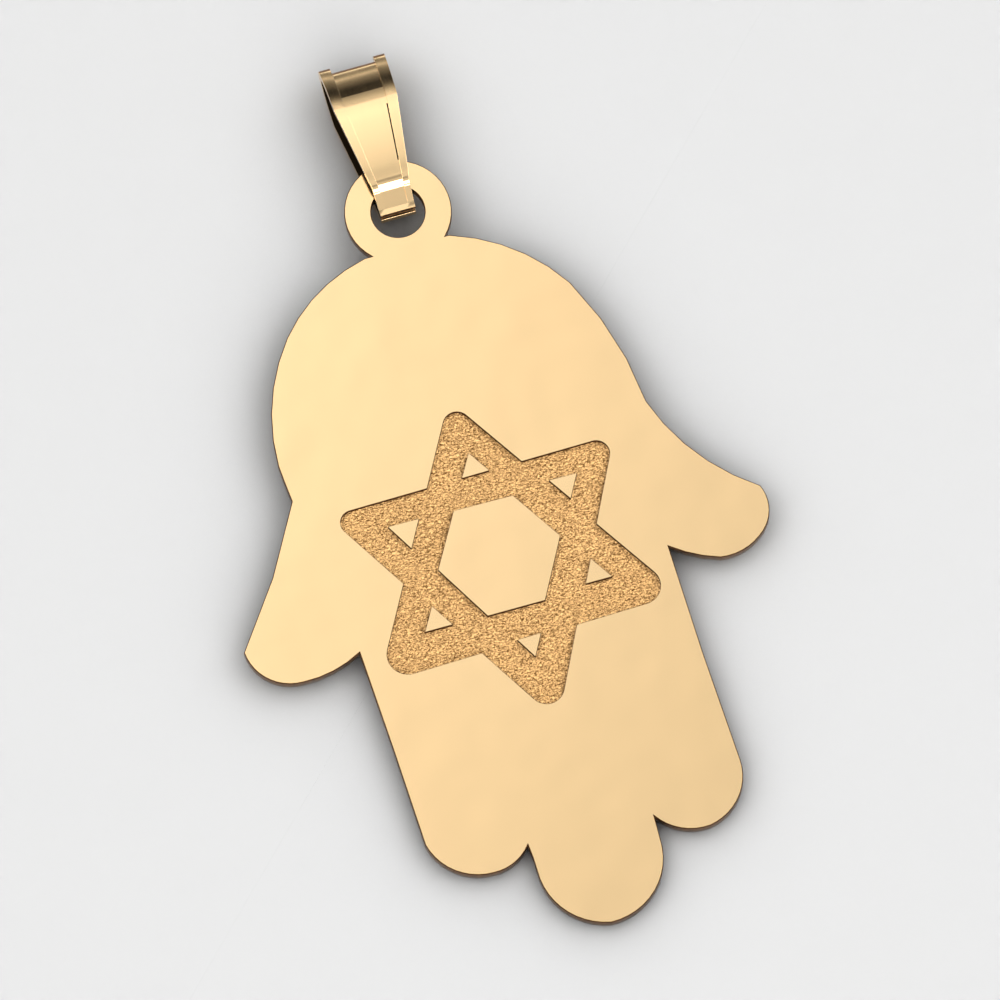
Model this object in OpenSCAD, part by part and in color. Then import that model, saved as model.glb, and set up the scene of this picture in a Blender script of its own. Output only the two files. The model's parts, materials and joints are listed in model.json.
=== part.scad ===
// A flat gold hamsa pendant, fingers down, with a sunk hexagram and a folded bail.
// It lies on a table as it is put down: the bail on its back leaf, the plate on its
// longest fingertip. X is across the hand, Y runs from the fingertips to the bail, Z is up,
// and the origin is the centre of the footprint, on the table.

/* [Plate] */
// Width over the two thumbs
body_w = 19.1; // [16:0.1:23]
// Height of the hand, from its rounded top to the longest fingertip
body_h = 25.7; // [22:0.1:31]
// Thickness of the sheet
plate_t = 0.4; // [0.35:0.05:0.55]

/* [Ring] */
// Outside diameter of the ring at the top of the hand
ring_d = 3.76; // [3.4:0.02:4.4]
// Diameter of the hole in the ring
hole_d = 1.88; // [1.7:0.02:2.2]
// Depth that the ring runs into the rounded top
ring_sink = 0.56; // [0.4:0.02:0.8]

/* [Hexagram] */
// Distance from the middle of the hexagram to the outer sides of its triangles
star_reach = 3.1; // [2.6:0.02:3.4]
// Width of the sunk bars that outline each triangle
bar_w = 1.15; // [0.9:0.05:1.4]
// Depth of the sunk bars below the polished face
star_depth = 0.18; // [0.1:0.01:0.25]
// Height of the hexagram's middle above the longest fingertip
star_height = 13.87; // [12.5:0.05:15.5]

/* [Bail] */
// Length from the middle of the ring's hole to the top of the fold
bail_len = 5.85; // [5.2:0.05:7]
// Width at the top of the fold
bail_w = 2.4; // [2.2:0.05:3]
// Thickness of the strip at its raised rims
strip_t = 0.25; // [0.24:0.01:0.36]
// Depth of the sunk panel between the rims
panel_depth = 0.09; // [0.05:0.01:0.12]
// Width of each rim as a share of the strip's width
rim_share = 0.17; // [0.12:0.01:0.22]
// Length of the rounded fold
fold_len = 1.85; // [1.5:0.05:2.2]
// Depth of the panel below the rims at the top of the fold
fold_sink = 0.2; // [0.12:0.01:0.24]
// Clearance between the ring and the strip all through the swing
swing_gap = 0.05; // [0.04:0.005:0.08]
// Slit between the two tongues where they meet in the hole
tongue_slit = 0.05; // [0.03:0.01:0.08]
// Length by which the back tongue reaches past the front one
tongue_lip = 0.06; // [0:0.01:0.1]

/* [Hidden] */
gold = [0.93, 0.76, 0.47];
bail_gold = [0.90, 0.74, 0.44];
skin = 0.1;

// Fineness of the curves: facets of the ring, half a facet of the outline in degrees, and facets of a
// rounded tip, of each half of the fold and of the bends below and above a step
ring_facets = 96;
outline_turn = 4;
tip_facets = 12;
fold_facets = 8;
low_facets = 4;
high_facets = 6;

// Heights along the hand, measured from the middle of the ring's hole
ring_r = ring_d / 2;
hole_r = hole_d / 2;
body_top = -(ring_r - ring_sink);
tip_y = body_top - body_h;

// Outline of the hand, clockwise from the ring's right foot. Each row is a point and the arc to
// the next: its place across as a share of body_w, its height above the longest fingertip as a
// share of body_h, and the arc's rise over half its chord, outward if positive.
OUTLINE = [
    [0.077, 1.000, 0.175],   // ring's foot, right
    [0.263, 0.889, 0.105],   // shoulder
    [0.332, 0.697, -0.165],  // root of the right thumb
    [0.486, 0.538, 0.350],   // thumb tip, upper side
    [0.458, 0.470, 0.210],
    [0.377, 0.455, 0.095],   // underside of the thumb
    [0.292, 0.490, -0.010],  // crotch of the thumb
    [0.302, 0.172, 0.376],   // right finger
    [0.214, 0.094, 0.275],
    [0.121, 0.128, 0.010],   // crotch between right and middle fingers
    [0.119, 0.083, 0.395],
    [-0.011, 0.000, 0.374],  // longest fingertip
    [-0.113, 0.099, -0.030],
    [-0.115, 0.137, 0.245],  // crotch between middle and left fingers
    [-0.188, 0.112, 0.355],  // left finger
    [-0.294, 0.176, -0.005],
    [-0.305, 0.463, 0.140],  // crotch of the left thumb
    [-0.419, 0.444, 0.400],  // underside of the thumb
    [-0.507, 0.507, -0.055], // pointed tip of the left thumb
    [-0.342, 0.695, 0.010],  // root of the left thumb
    [-0.347, 0.748, 0.165],
    [-0.262, 0.921, 0.170],  // shoulder
    [-0.084, 1.000, 0.000]   // ring's foot, left
];
left_share = -0.507;
right_share = 0.4913;

// Place of the hexagram's middle
star_x = -0.005 * body_w;
star_y = tip_y + star_height;

// Sides of the two triangles, counterclockwise from the top one, and none quite like another.
// Each row is the outer side's distance from the middle as a share of star_reach and its turn in
// degrees, the bar's width as a share of bar_w and its inner side's turn, and the round of the
// tip between this side and the next of the same triangle, as a share of star_reach.
SIDES = [
    [1.011, 0.4, 0.935, -1.0, 0.145],  // top side of the triangle that points down
    [1.000, 0.5, 0.930, -0.4, 0.237],  // upper left side of the one that points up
    [0.984, 0.75, 1.004, -0.5, 0.200],
    [1.018, 1.1, 1.048, -0.3, 0.220],
    [0.974, 3.1, 1.043, 1.0, 0.153],
    [0.992, 2.35, 0.996, 2.0, 0.158]
];

// Islands of full height in the six points, in the same order. Each row tells how far the island's
// three sides lie outside the lines they follow, as shares of bar_w: its base along the outer line
// of one side, and its flanks along the inner lines of the sides before and after that one.
ISLANDS = [
    [0.004, 0.124, 0.010],   // island in the top point
    [0.016, 0.037, 0.073],   // upper left
    [-0.066, -0.095, -0.030],
    [-0.080, -0.073, 0.109],
    [0.026, -0.159, 0.069],
    [0.088, 0.055, 0.174]
];

// Widths of the bail below its fold, at the ring's band and along the tongues, which pass the hole
shoulder_w = 0.955 * bail_w;
foot_w = 0.77 * hole_d;
root_w = 0.71 * hole_d;
tongue_w = 0.66 * hole_d;

// The ring turns about a line through its own band, a little inside the band's middle. The band
// that the foot spans reaches from band_in to the ring's outer edge, and the tongues stand in
// the hole below band_in.
band_in = sqrt(hole_r * hole_r - foot_w * foot_w / 4);
tongue_in = sqrt(hole_r * hole_r - root_w * root_w / 4);
pivot_share = 0.43;
pivot_y = band_in + pivot_share * (ring_r - band_in);
half_t = plate_t / 2;
front_in = norm([pivot_y - band_in, half_t]) + swing_gap;
back_in = norm([ring_r - pivot_y, half_t]) + swing_gap;
tongue_clear = norm([pivot_y - tongue_in, half_t]) + swing_gap;
front_out = front_in + strip_t;
back_out = back_in + strip_t;
mid_z = (front_out - back_out) / 2;
half_out = (front_out + back_out) / 2;

// Tongues: they start side by side at the middle of the hole, climb past the ring's band at an
// angle that just clears it, and step out to the leaves. The back one steps out sooner, to
// clear the ring's outer edge when the plate stands up. A rim crosses each tongue's end.
tongue_y = -0.024 * hole_d;
end_rim = 0.11 * hole_d;
slit = tongue_slit / 2;
to_pivot = [pivot_y - tongue_y, slit];
climb = asin(tongue_clear / norm(to_pivot)) - atan2(to_pivot[1], to_pivot[0]);
front_root = pivot_y - tongue_clear * sin(climb);
back_root = tongue_in + swing_gap;
front_step = 60;
back_step = 75;
bend_r = 0.08;

// Fold: a shoulder arc that turns through shoulder_turn, then a tighter nose
fold_y = bail_len - fold_len;
shoulder_turn = 40;
nose_wall = fold_sink + strip_t - panel_depth;

// The plate lies on its fingertip while the bail lies flat, so it leans a little
lean_arm = [pivot_y - tip_y, half_t];
rest_tilt = asin(back_out / norm(lean_arm)) - atan2(lean_arm[1], lean_arm[0]);
low_y = pivot_y + (tip_y - pivot_y) * cos(rest_tilt) - half_t * sin(rest_tilt);
foot_mid_y = (bail_len + low_y) / 2;
foot_mid_x = (left_share + right_share) / 2 * body_w;

function unit(v) = v / norm(v);
function left_of(v) = [-v[1], v[0]];

// Points of the arc from p to q, without q itself. rise is its height over half its chord.
function arc_points(p, q, rise) =
    let (chord = q - p, along = unit(chord), out = left_of(along), half = 2 * atan(abs(rise)))
    half < 0.1 ? [p] :
    let (r = norm(chord) / 2 / sin(half), n = max(2, ceil(half / outline_turn)))
    [for (i = [0 : n - 1])
        let (a = -half + 2 * half * i / n)
        (p + q) / 2 + along * r * sin(a) + out * sign(rise) * r * (cos(a) - cos(half))];

// Points of an arc of radius r that rounds corner b of the path a, b, c
function round_corner(a, b, c, r, n) =
    let (u = unit(a - b), v = unit(c - b), half = acos(u * v) / 2,
         mid = b + unit(u + v) * r / sin(half), start = b + u * r / tan(half) - mid,
         turn = (180 - 2 * half) * sign(left_of(b - a) * (c - b)))
    [for (i = [0 : n])
        let (w = turn * i / n)
        mid + [start[0] * cos(w) - start[1] * sin(w), start[0] * sin(w) + start[1] * cos(w)]];

// Lines of a triangle's side, outer and inner, each as its distance from the hexagram's middle
// and the direction of its normal
function outer_line(k) = [SIDES[k][0] * star_reach, 90 + 60 * k + SIDES[k][1]];
function inner_line(k) = [SIDES[k][0] * star_reach - SIDES[k][2] * bar_w, 90 + 60 * k + SIDES[k][3]];
function crossing(a, b) =
    [a[0] * sin(b[1]) - b[0] * sin(a[1]), b[0] * cos(a[1]) - a[0] * cos(b[1])] / sin(b[1] - a[1]);

function moved(line, share) = [line[0] + share * bar_w, line[1]];

// Outer triangle whose first side is first, with its tips rounded
function outer_triangle(first) =
    let (ks = [for (i = [0 : 2]) first + 2 * i],
         tips = [for (k = ks) crossing(outer_line(k), outer_line((k + 2) % 6))])
    [for (i = [0 : 2])
        each round_corner(tips[(i + 2) % 3], tips[i], tips[(i + 1) % 3],
                          SIDES[ks[i]][4] * star_reach, tip_facets)];

// The polished areas that the bars enclose: the hexagon in the middle and the island over side k
function hexagon() = [for (k = [0 : 5]) crossing(inner_line(k), inner_line((k + 1) % 6))];
function island(k) =
    let (base = moved(outer_line(k), ISLANDS[k][0]),
         before = moved(inner_line((k + 5) % 6), ISLANDS[k][1]),
         after = moved(inner_line((k + 1) % 6), ISLANDS[k][2]))
    [crossing(base, before), crossing(before, after), crossing(after, base)];

module hand() {
    rows = len(OUTLINE);
    places = [for (row = OUTLINE) [row[0] * body_w, tip_y + row[1] * body_h]];
    polygon([for (i = [0 : rows - 1])
        each arc_points(places[i], places[(i + 1) % rows], OUTLINE[i][2])]);
}

// The bars of the two triangles: both triangles without the areas that stay at full height
module hexagram() {
    translate([star_x, star_y])
        difference() {
            union() {
                polygon(outer_triangle(0));
                polygon(outer_triangle(1));
            }
            polygon(hexagon());
            for (k = [0 : 5]) polygon(island(k));
        }
}

// The plate in its own plane, with its middle layer at height 0
module flat_plate() {
    difference() {
        union() {
            translate([0, 0, -half_t]) linear_extrude(plate_t) hand();
            translate([0, 0, -half_t]) cylinder(h = plate_t, r = ring_r, $fn = ring_facets);
        }
        translate([0, 0, -half_t - skin]) cylinder(h = plate_t + 2 * skin, r = hole_r, $fn = ring_facets);
        translate([0, 0, half_t - star_depth]) linear_extrude(star_depth + skin) hexagram();
    }
}

// One leaf's side view as a path in Y and Z, from the end of its tongue to the fold, moved out
// from the strip's inner face by out. The tongue's end is cut square to the hand.
function leaf_path(inside, root, step, lip, out) =
    let (end = tongue_y - lip, root_z = slit + (root - tongue_y) * tan(climb),
         base = [[end, slit - lip * tan(climb)], [root, root_z],
                 [root + (inside - root_z) / tan(step), inside], [fold_y, inside]],
         sides = [for (i = [0 : 2]) left_of(unit(base[i + 1] - base[i]))])
    [base[0] + [0, out / cos(climb)],
     base[1] + (sides[0] + sides[1]) * out / (1 + sides[0] * sides[1]),
     base[2] + (sides[1] + sides[2]) * out / (1 + sides[1] * sides[2]),
     base[3] + sides[2] * out];

// The same path with its two bends rounded. Each bend is tighter on its inner side, and the two
// share the step's length, so that they meet at most.
function leaf_curve(path, step, out) =
    let (len = norm(path[2] - path[1]), high_share = 0.2 + 0.6 * out / strip_t,
         low_r = min(bend_r + strip_t - out, (1 - high_share) * len / tan((step - climb) / 2)),
         high_r = min(bend_r + out, high_share * len / tan(step / 2)))
    [path[0],
     each round_corner(path[0], path[1], path[2], low_r, low_facets),
     each round_corner(path[1], path[2], path[3], high_r, high_facets),
     path[3]];
function front_leaf(out) =
    leaf_curve(leaf_path(front_in, front_root, front_step, 0, out), front_step, out);
function back_leaf(out) =
    leaf_curve(leaf_path(back_in, back_root, back_step, tongue_lip, out), back_step, out);

// Half of the fold, from the leaf's tangent line to the nose: two arcs that span reach along Y
// and rise across Z
function fold_curve(reach, rise) =
    let (s = sin(shoulder_turn), c = cos(shoulder_turn),
         shoulder_r = (reach * c - rise * (1 - s)) / (s * c - (1 - c) * (1 - s)),
         nose_r = (rise - shoulder_r * (1 - c)) / c)
    [for (i = [1 : fold_facets])
        let (a = shoulder_turn * i / fold_facets)
        shoulder_r * [sin(a), cos(a)] + [0, rise - shoulder_r],
     for (i = [1 : fold_facets])
        let (a = shoulder_turn + (90 - shoulder_turn) * i / fold_facets)
        nose_r * [sin(a), cos(a)] + [reach - nose_r, 0]];

function flip(path) = [for (p = path) [p[0], -p[1]]];
function backward(path) = [for (i = [len(path) - 1 : -1 : 0]) path[i]];

// One face of the whole strip, from the front tongue over the fold to the back tongue
function strip_face(out, reach) =
    let (half = half_out - strip_t + out, place = [fold_y, mid_z], nose = fold_curve(reach, half))
    [each front_leaf(out),
     for (p = nose) place + p,
     for (p = backward(flip([for (i = [0 : len(nose) - 2]) nose[i]]))) place + p,
     each backward(flip(back_leaf(out)))];

// The strip's side view: its outer face, moved out from the inner face by out, and its inner face
module strip_side(out, reach) {
    polygon(concat(strip_face(out, reach), backward(strip_face(0, fold_len - nose_wall))));
}

module strip(out, reach) {
    rotate([90, 0, 90]) linear_extrude(bail_w + 2 * skin, center = true) strip_side(out, reach);
}

// The strip's front view from end up to the top of the fold, as wide as share of its full width
module taper(share, end) {
    half = [[bail_len + skin, bail_w], [fold_y, shoulder_w], [pivot_y, foot_w], [front_root, root_w],
            [end, tongue_w]] / 2;
    right = [for (p = half) [p[1] * share, p[0] * 2]];
    left = [for (p = backward(right)) [-p[0], p[1]]];
    linear_extrude(4 * half_out, center = true) polygon(concat(right, left));
}

module hamsa_plate() {
    color(gold)
        translate([-foot_mid_x, pivot_y - foot_mid_y, back_out])
            rotate([rest_tilt, 0, 0])
                translate([0, -pivot_y, 0]) flat_plate();
}

module bail() {
    color(bail_gold)
        translate([-foot_mid_x, -foot_mid_y, back_out])
            union() {
                intersection() {
                    strip(strip_t - panel_depth, fold_len - fold_sink);
                    taper(1, tongue_y - tongue_lip - skin);
                }
                intersection() {
                    strip(strip_t, fold_len);
                    difference() {
                        taper(1, tongue_y - tongue_lip - skin);
                        taper(1 - 2 * rim_share, tongue_y + end_rim);
                    }
                }
            }
}

hamsa_plate();
bail();
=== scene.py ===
"""A polished gold hamsa pendant with a blasted hexagram, lying on a milky white table under soft lights."""

import json
from math import cos, pi, radians, sin

import bmesh
import bpy
from mathutils import Matrix, Vector, noise


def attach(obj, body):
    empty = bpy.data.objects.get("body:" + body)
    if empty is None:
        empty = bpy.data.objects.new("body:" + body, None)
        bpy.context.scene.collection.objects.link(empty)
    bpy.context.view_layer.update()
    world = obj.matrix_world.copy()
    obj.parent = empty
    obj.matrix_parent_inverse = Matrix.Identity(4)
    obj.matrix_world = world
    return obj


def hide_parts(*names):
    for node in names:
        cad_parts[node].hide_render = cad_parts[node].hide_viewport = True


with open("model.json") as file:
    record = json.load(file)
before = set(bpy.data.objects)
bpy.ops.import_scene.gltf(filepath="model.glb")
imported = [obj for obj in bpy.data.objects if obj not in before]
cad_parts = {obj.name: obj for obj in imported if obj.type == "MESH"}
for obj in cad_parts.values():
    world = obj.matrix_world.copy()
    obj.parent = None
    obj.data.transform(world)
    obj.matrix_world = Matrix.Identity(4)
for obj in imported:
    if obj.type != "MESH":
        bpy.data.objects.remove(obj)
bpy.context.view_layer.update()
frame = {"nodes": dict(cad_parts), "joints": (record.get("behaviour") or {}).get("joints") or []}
scene = bpy.context.scene

# The plate's own frame: the hand lies in a plane that leans a little, because the bail holds its
# ring end up. The swing axis is in the middle of the sheet, so it gives the plane's place. A face
# counts as facing some way when that part of its normal is over 0.9.
facing = 0.9
pivot = Vector(frame["joints"][0]["pos_m"]) * 1000
plate_node = frame["nodes"]["hamsa_plate"]
upper_face = max((f for f in plate_node.data.polygons if f.normal.z > facing), key=lambda f: f.area)
lean = upper_face.normal.copy()
to_plate = Matrix.Translation(pivot) @ Vector((0, 0, 1)).rotation_difference(lean).to_matrix().to_4x4()
from_plate = to_plate.inverted()


# Plate: a flat hand sawn with its ring from 0.4 mm sheet of 14-karat gold, its face buffed to a mirror.
# A file breaks the sawn edge by a few hundredths of a millimetre, and the edge is painted dark brown as
# shade. All lengths here are in millimetres, in the plate's own frame.
sheet = 0.4
edge_break = 0.03
recess_break = 0.012
star_depth = 0.18
star_floor = sheet / 2 - star_depth
touching = 1e-4
tolerance = 0.01
merge_angle, sawn_angle = 0.4, 60
flat_facing, wall_facing = 0.999, 0.5
FACE, EDGE, WALL, STAR = 0, 1, 2, 3


def linear(hex_colour):
    """Linear colour from an sRGB hex value."""
    parts = [int(hex_colour[i:i + 2], 16) / 255 for i in (1, 3, 5)]
    return [c / 12.92 if c <= 0.04045 else ((c + 0.055) / 1.055) ** 2.4 for c in parts] + [1.0]


def add(tree, kind, links=(), **settings):
    """Adds a node with its settings and input values, and links other nodes' outputs to its inputs."""
    made = tree.nodes.new(kind)
    for name, value in settings.items():
        if hasattr(made, name):
            setattr(made, name, value)
        else:
            made.inputs[name.replace("_", " ")].default_value = value
    for source, output, socket in links:
        tree.links.new(source.outputs[output], made.inputs[socket])
    return made


def new_metal(name):
    """A material with a full metal shader, and its object coordinates in millimetres."""
    material = bpy.data.materials.new(name)
    material.use_nodes = True
    tree = material.node_tree
    tree.nodes.clear()
    shader = add(tree, "ShaderNodeBsdfPrincipled", Metallic=1.0)
    add(tree, "ShaderNodeOutputMaterial", [(shader, "BSDF", "Surface")])
    place = add(tree, "ShaderNodeTexCoord")
    millimetres = add(tree, "ShaderNodeMapping", [(place, "Object", "Vector")], Scale=(1000, 1000, 1000))
    return material, tree, shader, millimetres


def scaled(bm, factor):
    bmesh.ops.scale(bm, vec=(factor,) * 3, verts=bm.verts)


def solid_from(node):
    """The node's solid in millimetres, with its loose triangles merged to whole flat faces."""
    bm = bmesh.new()
    bm.from_mesh(node.data)
    scaled(bm, 1000)
    bmesh.ops.remove_doubles(bm, verts=bm.verts, dist=touching)
    bmesh.ops.dissolve_limit(bm, angle_limit=radians(merge_angle), verts=bm.verts, edges=bm.edges)
    return bm


def break_edges(bm, edges, width):
    """Rounds the given edges, where they are outward ones."""
    outward = [e for e in edges if len(e.link_faces) == 2 and e.is_convex]
    bmesh.ops.bevel(bm, geom=outward, offset=width, offset_type="OFFSET", affect="EDGES", segments=3,
                    profile=0.5, material=-1, clamp_overlap=True)


def sharper_than(bm, degrees):
    """The edges at which the surface turns by more than this."""
    return [e for e in bm.edges if len(e.link_faces) == 2 and e.calc_face_angle(0) > radians(degrees)]


def in_recess(face):
    """True on the upright walls of the star, which stop at its floor."""
    return min(v.co.z for v in face.verts) > star_floor - tolerance


bm = solid_from(plate_node)
bm.transform(from_plate)
sharp = sharper_than(bm, sawn_angle)
inner = [e for e in sharp if all(in_recess(f) for f in e.link_faces if abs(f.normal.z) < wall_facing)]
outer = [e for e in sharp if e not in set(inner)]
break_edges(bm, outer, edge_break)
break_edges(bm, [e for e in inner if e.is_valid], recess_break)
for face in bm.faces:
    level = face.calc_center_median().z
    flat = abs(face.normal.z) > flat_facing
    face.smooth = not flat
    face.material_index = FACE if flat else WALL if in_recess(face) else EDGE
    if flat and face.normal.z > 0 and level < sheet / 2 - star_depth / 2:
        face.material_index = STAR

# Floor of the star: the hexagram is masked and blasted away, which leaves a matte floor of shallow
# pits and ridges about a tenth of a millimetre across. It is a block of relief, as wide as the star
# and sunk into the sheet, that is joined with the plate.
grain = 0.065
grain_height = 0.04
grain_step = 0.03
grain_least, grain_mean, grain_swing = 0.03, 0.5, 0.75
fine_grain, fine_share, fine_shift = 2.1, 0.5, Vector((7, 3, 1))
block_depth = 0.1
star_middle = Vector((-0.0955, -14.3, 0))
half_x, half_y = 5.2, 5.9

relief = bmesh.new()
bmesh.ops.create_grid(relief, x_segments=round(2 * half_x / grain_step),
                      y_segments=round(2 * half_y / grain_step),
                      size=1.0, matrix=Matrix.Diagonal((half_x, half_y, 1, 1)))
for vertex in relief.verts:
    vertex.co += star_middle
    spot = Vector((vertex.co.x / grain, vertex.co.y / grain, 0.0))
    rough = noise.noise(spot) + fine_share * noise.noise(spot * fine_grain + fine_shift)
    vertex.co.z = star_floor + grain_height * min(1.0, max(grain_least, grain_mean + grain_swing * rough))
lower = bmesh.ops.extrude_face_region(relief, geom=list(relief.faces))
for vertex in lower["geom"]:
    if isinstance(vertex, bmesh.types.BMVert):
        vertex.co.z = star_floor - block_depth
bmesh.ops.recalc_face_normals(relief, faces=relief.faces)
for face in relief.faces:
    face.smooth = True
    face.material_index = STAR

# Polished face: yellow 14-karat gold, buffed by hand, so that the eye sees very faint waves in what
# it mirrors, about two millimetres long, and a haze of fine lines along the hand, a tenth wide.
gold_face, tree, shader, place = new_metal("polished_14k_gold")
shader.inputs["Base Color"].default_value = linear("#FFDBA5")
waves = add(tree, "ShaderNodeTexNoise", [(place, "Vector", "Vector")], Scale=0.45, Detail=1.0)
drawn = add(tree, "ShaderNodeMapping", [(place, "Vector", "Vector")], Scale=(9.0, 0.6, 1.0))
lines = add(tree, "ShaderNodeTexNoise", [(drawn, "Vector", "Vector")], Scale=1.0, Detail=2.0)
haze = add(tree, "ShaderNodeMapRange", [(lines, "Fac", "Value")], To_Min=0.13, To_Max=0.19)
tree.links.new(haze.outputs["Result"], shader.inputs["Roughness"])
wavy = add(tree, "ShaderNodeBump", [(waves, "Fac", "Height")], Strength=1.0, Distance=0.006e-3)
tree.links.new(wavy.outputs["Normal"], shader.inputs["Normal"])

# Sawn edge: the same gold, streaked by upright saw marks 0.15 mm apart. Its dark brown is painted shade,
# for the shadowed table that the edge faces.
gold_edge_painted_shade, tree, shader, place = new_metal("14k_gold_edge_painted_shade")
shader.inputs["Roughness"].default_value = 0.28
upright = add(tree, "ShaderNodeMapping", [(place, "Vector", "Vector")], Scale=(7.0, 7.0, 0.8))
marks = add(tree, "ShaderNodeTexNoise", [(upright, "Vector", "Vector")], Scale=1.0, Detail=3.0)
# Painted shade: the edge's colour runs between dark and mid brown.
painted_shade_tint = add(tree, "ShaderNodeMix", [(marks, "Fac", "Factor")], data_type="RGBA")
painted_shade_tint.inputs["A"].default_value = linear("#4A3219")
painted_shade_tint.inputs["B"].default_value = linear("#94693D")
tree.links.new(painted_shade_tint.outputs["Result"], shader.inputs["Base Color"])
ridged = add(tree, "ShaderNodeBump", [(marks, "Fac", "Height")], Strength=1.0, Distance=0.012e-3)
tree.links.new(ridged.outputs["Normal"], shader.inputs["Normal"])

# Walls of the star's recess: dull, and painted dark brown as the shade that falls in the recess.
gold_wall_painted_shade, tree, shader, place = new_metal("14k_gold_wall_painted_shade")
shader.inputs["Base Color"].default_value = linear("#3F2813")
shader.inputs["Roughness"].default_value = 0.5

# Star floor: matte gold, speckled light and dark brown, where the dark specks are painted shade in its pits
# and the bump is its grit. The specks are drawn out along the blast, and twice as coarse as its grit,
# because finer ones don't show.
speck = 0.075
gold_star, tree, shader, place = new_metal("blasted_14k_gold_painted_pit_shade")
shader.inputs["Roughness"].default_value = 0.5
drawn_out = add(tree, "ShaderNodeMapping", [(place, "Vector", "Vector")],
                Rotation=(0, 0, radians(30)), Scale=(1, 1.8, 1))
speckle = add(tree, "ShaderNodeTexNoise", [(drawn_out, "Vector", "Vector")], Scale=1 / speck, Detail=2.0,
              Roughness=0.6, Distortion=1.0)
# Painted shade: the darker half of the noise marks the pits.
painted_pit_shade = add(tree, "ShaderNodeMapRange", [(speckle, "Fac", "Value")], From_Min=0.4, From_Max=0.6)
painted_shade_tint = add(tree, "ShaderNodeMix", [(painted_pit_shade, "Result", "Factor")], data_type="RGBA")
painted_shade_tint.inputs["A"].default_value = linear("#664522")
painted_shade_tint.inputs["B"].default_value = linear("#E8BB7E")
tree.links.new(painted_shade_tint.outputs["Result"], shader.inputs["Base Color"])
rough = add(tree, "ShaderNodeBump", [(speckle, "Fac", "Height")], Strength=1.0, Distance=0.02e-3)
tree.links.new(rough.outputs["Normal"], shader.inputs["Normal"])


def object_from(bm, name, materials):
    """An object with the bmesh's shape, which is freed."""
    mesh = bpy.data.meshes.new(name)
    bm.to_mesh(mesh)
    bm.free()
    for material in materials:
        mesh.materials.append(material)
    made = bpy.data.objects.new(name, mesh)
    scene.collection.objects.link(made)
    return made


golds = (gold_face, gold_edge_painted_shade, gold_wall_painted_shade, gold_star)
plate = object_from(bm, "gold_plate", golds)
floor_relief = object_from(relief, "floor_relief", golds)
joined = plate.modifiers.new("star floor", "BOOLEAN")
joined.operation = "UNION"
joined.solver = "MANIFOLD"
joined.object = floor_relief
bpy.context.view_layer.update()
finished = bpy.data.meshes.new_from_object(plate.evaluated_get(bpy.context.evaluated_depsgraph_get()))
plate.modifiers.clear()
plate.data = finished
finished.transform(Matrix.Scale(0.001, 4) @ to_plate)
bpy.data.objects.remove(floor_relief)
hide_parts("hamsa_plate")
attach(plate, "plate")


# Bail: a strip of the same gold, rolled with two raised rims, folded over a mandrel and stepped
# down to a tongue at each end. It is polished all over. Lengths are in millimetres; places along the
# strip are on +Y, from the tongue's end at 10.5 up to the fold, and heights of the front leaf on +Z.
strip_break = 0.018
front_end_break, back_end_break = 0.03, 0.04
front_limit, back_limit, end_width = 10.6, 10.5, 0.8
strip_angle, crisp_angle = 28, 18

# Polished strip: the same gold, buffed along its length, with a haze of strokes 0.07 mm wide.
gold_bail, tree, shader, place = new_metal("polished_14k_gold_strip")
shader.inputs["Base Color"].default_value = linear("#FFDBA5")
along_strip = add(tree, "ShaderNodeMapping", [(place, "Vector", "Vector")], Scale=(14.0, 0.8, 0.8))
strokes = add(tree, "ShaderNodeTexNoise", [(along_strip, "Vector", "Vector")], Scale=1.0, Detail=2.0)
haze = add(tree, "ShaderNodeMapRange", [(strokes, "Fac", "Value")], To_Min=0.11, To_Max=0.22)
tree.links.new(haze.outputs["Result"], shader.inputs["Roughness"])

# Inside of the bail: near-black painted shade, for the hollow between the leaves, where shade falls.
gold_inside_painted_shade, tree, shader, place = new_metal("14k_gold_inside_painted_shade")
shader.inputs["Base Color"].default_value = linear("#150E07")
shader.inputs["Roughness"].default_value = 0.45

bm = solid_from(frame["nodes"]["bail"])
middle = Vector([sum((min(c), max(c))) / 2 for c in zip(*(v.co for v in bm.verts))])
POLISHED, PAINTED_SHADE_INSIDE, PAINTED_SHADE_BROWN = 0, 1, 2
# Faces that look into the bail's hollow get the near-black painted shade.
for face in bm.faces:
    outward = face.calc_center_median() - middle
    outward.x = 0
    inside = face.normal.dot(outward) < 0 and abs(face.normal.x) < facing
    face.material_index = PAINTED_SHADE_INSIDE if inside else POLISHED
ends = [e for e in bm.edges
        if e.is_convex and max(v.co.y for v in e.verts) < front_limit and e.calc_length() > end_width]
front_end = max(ends, key=lambda e: e.verts[0].co.z)
back_end = max((e for e in ends if e.verts[0].co.y < back_limit), key=lambda e: e.verts[0].co.z)
break_edges(bm, [front_end], front_end_break)
break_edges(bm, [back_end], back_end_break)
break_edges(bm, sharper_than(bm, strip_angle), strip_break)


def cut_across(bm, point, normal):
    """Adds a row of edges where a plane meets the piece."""
    bmesh.ops.bisect_plane(bm, geom=bm.verts[:] + bm.edges[:] + bm.faces[:], plane_co=point,
                           plane_no=normal, dist=touching)


def share(value, start, stop):
    """How far value has come from start to stop, from 0 to 1."""
    return min(1.0, max(0.0, (value - start) / (stop - start)))


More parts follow.
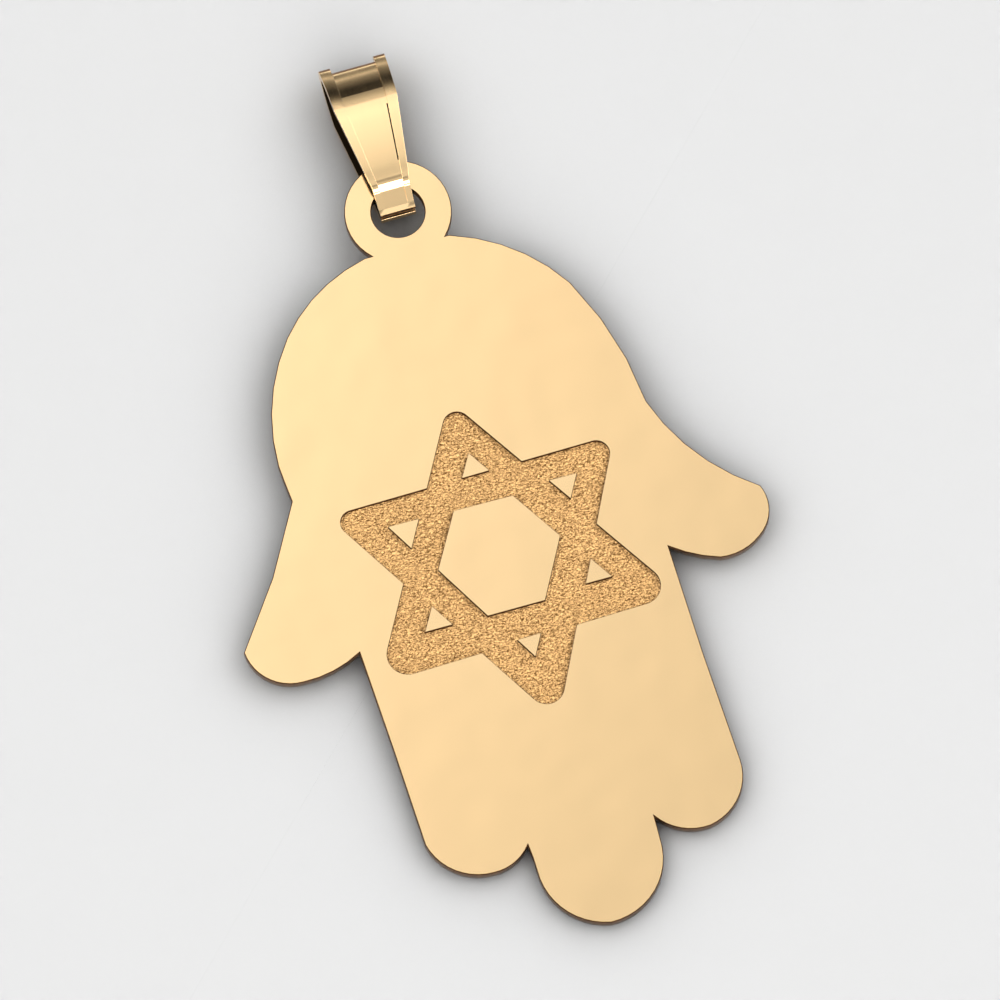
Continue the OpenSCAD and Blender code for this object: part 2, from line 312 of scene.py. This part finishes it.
# Front leaf: hammered a little thinner towards its step, with a shallow dip just above that, and
# bowed down towards the fold, so that its face turns by a few degrees along its length. The step is
# pressed to a straight slope, and the tongue's rims sink to a flat pad at its end.
cuts = 24
leaf_low, leaf_top, fold_start = 11.6, 14.17, 14.58
inner_face, panel_face = 1.69, 1.85
thinned = 0.11
dipped = 0.004
dip_low, dip_top = 11.9, 12.4
bowed = 0.13
bow_low, bow_top = 14.0, 16.2
step_low, step_top = 11.304, 11.553
step_low_z, step_slope, step_roll = 1.665, 0.751, 0.07
tongue_slope = 0.524
pad_top, pad_z, pad_slope, pad_slack = 10.743, 1.371, 0.034, 0.001
pad_run = 0.06
half_panel = 0.08
up_strip = (0, 1, 0)

for k in range(1, cuts + 1):
    cut_across(bm, (0, leaf_low + (fold_start - leaf_low) * k / cuts, 0), up_strip)
cut_across(bm, (0, pad_top, 0), up_strip)
cut_across(bm, (0, pad_top + pad_run, 0), up_strip)
for vertex in bm.verts:
    y, z = vertex.co.y, vertex.co.z
    surface = step_low_z + (y - step_low) * (step_slope if y > step_low else tongue_slope)
    if step_low < y < step_top and 0 < z - surface < step_roll:
        vertex.co.z = surface
    outer_share = share(vertex.co.z, inner_face, panel_face - tolerance)
    if y < step_top:
        outer = z > surface - half_panel
        outer_share = share(y, pad_top, step_low) if outer else 0.0
        if y < step_low and z > surface:
            vertex.co.z = surface + (z - surface) * outer_share
        if y < pad_top + pad_slack and outer:
            vertex.co.z = min(z, pad_z - (pad_top - y) * pad_slope)
    drop = thinned * share(y, leaf_top, leaf_low) ** 2 + dipped * share(y, dip_top, dip_low) ** 3
    vertex.co.z -= drop * outer_share
    up = share(y, bow_low, bow_top)
    vertex.co.z -= bowed * (3 - 2 * up) * up * up * max(0.0, (vertex.co.z - middle.z) / middle.z)

# The crease beside the right rim is painted near-black as shade. The ears and the nose of the fold are
# painted a shaded brown, and so is the front tongue's end face, in the slit above the lip by
# which the back tongue is longer.
crease_width = 0.045
crease_low, crease_high = 12.2, 14.3
rim_height, rim_foot = 0.12, 0.05
lip_top, lip_depth, slit_facing = 10.545, 0.04, 0.95
nose_start, nose_facing = bow_top - 1, 0.62


def low_wall(face):
    """True on the low upright sides of the strip's rims."""
    height = face.calc_area() / max(e.calc_length() for e in face.edges)
    return abs(face.normal.x) > facing and height < rim_height


crease = max((f for f in bm.faces
              if low_wall(f) and f.normal.x < 0 and f.calc_center_median().z > panel_face - rim_foot),
             key=lambda f: f.calc_area())
crease_normal = crease.normal.copy()
crease_point = crease.calc_center_median()
cut_across(bm, crease_point + crease_normal * crease_width, crease_normal)
cut_across(bm, (0, lip_top, 0), up_strip)
# Painted shade goes on the crease band, the slit face, and the ears and nose of the fold.
for face in bm.faces:
    spot = face.calc_center_median()
    beside = 0 < (spot - crease_point).dot(crease_normal) < crease_width
    if beside and crease_low < spot.y < crease_high and face.normal.z > facing and spot.z > inner_face:
        face.material_index = PAINTED_SHADE_INSIDE
    elif spot.y < lip_top:
        slit = face.normal.y < -slit_facing and spot.y > lip_top - lip_depth
        face.material_index = PAINTED_SHADE_BROWN if slit else POLISHED
    elif face.normal.y > nose_facing and spot.y > nose_start and face.material_index == POLISHED:
        face.material_index = PAINTED_SHADE_BROWN
    face.smooth = True
scaled(bm, 0.001)
bail = object_from(bm, "gold_bail", (gold_bail, gold_inside_painted_shade, gold_edge_painted_shade))
bail.data.set_sharp_from_angle(angle=radians(crisp_angle))
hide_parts("bail")
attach(bail, "bail")


# Table: a large sheet of milky white acrylic. Light spreads some millimetres inside it, so shadows on
# it have soft borders. Its colour is darkened by a painted shade where the pendant closes off its view of
# the room.
spread_inside = 0.008
shade_reach, shade_power = 0.005, 0.5
half_table = 3.0
milky_acrylic = bpy.data.materials.new("milky_acrylic")
milky_acrylic.use_nodes = True
tree = milky_acrylic.node_tree
tree.nodes.clear()
acrylic = add(tree, "ShaderNodeBsdfPrincipled", Roughness=0.6,
              Subsurface_Weight=1.0, Subsurface_Radius=(1.0, 1.0, 1.0), Subsurface_Scale=spread_inside)
acrylic.inputs["Specular IOR Level"].default_value = 0.0
# Painted contact shade: occlusion within a few millimetres darkens the base colour.
open_sky = add(tree, "ShaderNodeAmbientOcclusion", Distance=shade_reach, samples=8)
shade = add(tree, "ShaderNodeMath", [(open_sky, "AO", 0)], operation="POWER")
shade.inputs[1].default_value = shade_power
painted_shade_tone = add(tree, "ShaderNodeMix", [(shade, "Value", "Factor")], data_type="RGBA")
painted_shade_tone.inputs["A"].default_value = linear("#000000")
painted_shade_tone.inputs["B"].default_value = linear("#B9B9B9")
tree.links.new(painted_shade_tone.outputs["Result"], acrylic.inputs["Base Color"])
add(tree, "ShaderNodeOutputMaterial", [(acrylic, "BSDF", "Surface")])
bm = bmesh.new()
bmesh.ops.create_grid(bm, x_segments=1, y_segments=1, size=half_table)
table = object_from(bm, "table", (milky_acrylic,))


# Lights: a softbox above, behind the bail, which the flat face mirrors. It is brightest on its left
# and fades outward. Two more stand at the sides, and a low panel in front whitens the bail's step.
def softbox(name, tilt, turn, distance, width, height, radiance):
    """A rectangle of light. tilt is its angle from straight up, and turn the side it stands on, from +Y."""
    light = bpy.data.lights.new(name, "AREA")
    light.shape = "RECTANGLE"
    light.size, light.size_y = width, height
    light.energy = radiance * pi * width * height
    made = bpy.data.objects.new(name, light)
    scene.collection.objects.link(made)
    t, a = radians(tilt), radians(turn)
    away = Vector((sin(t) * sin(a), sin(t) * cos(a), cos(t)))
    aimed = away.to_track_quat("Z", "Y").to_matrix().to_4x4()
    made.matrix_world = Matrix.Translation(away * distance) @ aimed
    return made


hot_spot = Vector((-0.055, 0.206, 0.4625))
hot_width = (0.078, 0.076, 1.0)
hot_radiance = 2.5
above = softbox("softbox_above", tilt=15, turn=0, distance=0.5, width=0.5, height=0.306, radiance=1.0)
above.data.use_nodes = True
tree = above.data.node_tree
glow = tree.nodes["Emission"]
where = add(tree, "ShaderNodeNewGeometry")
offset = add(tree, "ShaderNodeVectorMath", [(where, "Position", 0)], operation="SUBTRACT")
offset.inputs[1].default_value = hot_spot
spread = add(tree, "ShaderNodeVectorMath", [(offset, "Vector", 0)], operation="DIVIDE")
spread.inputs[1].default_value = hot_width
span = add(tree, "ShaderNodeVectorMath", [(spread, "Vector", 0), (spread, "Vector", 1)],
           operation="DOT_PRODUCT")
fall = add(tree, "ShaderNodeMath", [(span, "Value", 0)], operation="MULTIPLY")
fall.inputs[1].default_value = -0.5
fade = add(tree, "ShaderNodeMath", [(fall, "Value", 0)], operation="EXPONENT")
level = add(tree, "ShaderNodeMapRange", [(fade, "Value", "Value")], To_Min=0.0, To_Max=hot_radiance)
tree.links.new(level.outputs["Result"], glow.inputs["Strength"])
softbox("softbox_left", tilt=40, turn=-90, distance=0.5, width=0.5, height=0.35, radiance=4.3)
softbox("softbox_right", tilt=40, turn=90, distance=0.5, width=0.5, height=0.35, radiance=4.3)
softbox("panel_front", tilt=66, turn=180, distance=0.5, width=0.4, height=0.34, radiance=4.6)

# Room: a dim one. Each stop is an angle from straight up, towards the bail, and how bright the room
# is there: grey in front and above, a bright seam beside the softbox, then dark, and a pale strip
# and the wall near the horizon. The left side is the darkest.
stops = ((-110, 0.5), (-50, 0.5), (-45, 0.68), (-13, 0.68), (0, 0.27), (31.5, 0.27), (32.5, 0.75),
         (36, 0.65), (40, 0.38), (44, 0.14), (50, 0.02), (59, 0.01), (63, 0.08), (70, 0.18), (74, 0.24),
         (76, 0.75), (79, 0.75), (81, 0.22), (90, 0.12))
world = bpy.data.worlds.new("studio")
scene.world = world
world.use_nodes = True
tree = world.node_tree
sky = tree.nodes["Background"]
where = add(tree, "ShaderNodeTexCoord")
parts = add(tree, "ShaderNodeSeparateXYZ", [(where, "Generated", "Vector")])
angle = add(tree, "ShaderNodeMath", [(parts, "Y", 0), (parts, "Z", 1)], operation="ARCTAN2")
turned = add(tree, "ShaderNodeMapRange", [(angle, "Value", "Value")], From_Min=-pi, From_Max=pi)
ramp = add(tree, "ShaderNodeValToRGB", [(turned, "Result", "Fac")])
for k, (degrees, grey) in enumerate(stops):
    spot = ramp.color_ramp.elements[k] if k < 2 else ramp.color_ramp.elements.new(1.0)
    spot.position = degrees / 360 + 0.5
    spot.color = (grey, grey, grey, 1)
side = add(tree, "ShaderNodeMapRange", [(parts, "X", "Value")], From_Min=-0.9, From_Max=-0.4,
           To_Min=0.05, To_Max=1.0)
tree.links.new(ramp.outputs["Color"], sky.inputs["Color"])
tree.links.new(side.outputs["Result"], sky.inputs["Strength"])

# Camera: a long lens, 1.5 m away, that looks at the plate from 72 degrees above its face and 16
# degrees to its left. The picture is 34.8 mm wide where the lens is aimed, above the star's middle.
azimuth, elevation, distance = radians(-16.4), radians(72), 1.5
picture_width = 0.0348
aim = to_plate @ Vector((0.4297, -12.3, 0.2)) / 1000
turn = to_plate.to_3x3()
back = turn @ Vector((sin(azimuth) * cos(elevation), -cos(azimuth) * cos(elevation), sin(elevation)))
right = turn @ Vector((cos(azimuth), sin(azimuth), 0))
lens = bpy.data.cameras.new("camera")
lens.sensor_width = 36
lens.lens = lens.sensor_width * distance / picture_width
lens.clip_start = 0.01
camera = bpy.data.objects.new("camera", lens)
scene.collection.objects.link(camera)
camera.matrix_world = (Matrix.Translation(aim + back * distance)
                       @ Matrix((right, back.cross(right), back)).transposed().to_4x4())
scene.camera = camera
scene.view_settings.view_transform = "Standard"
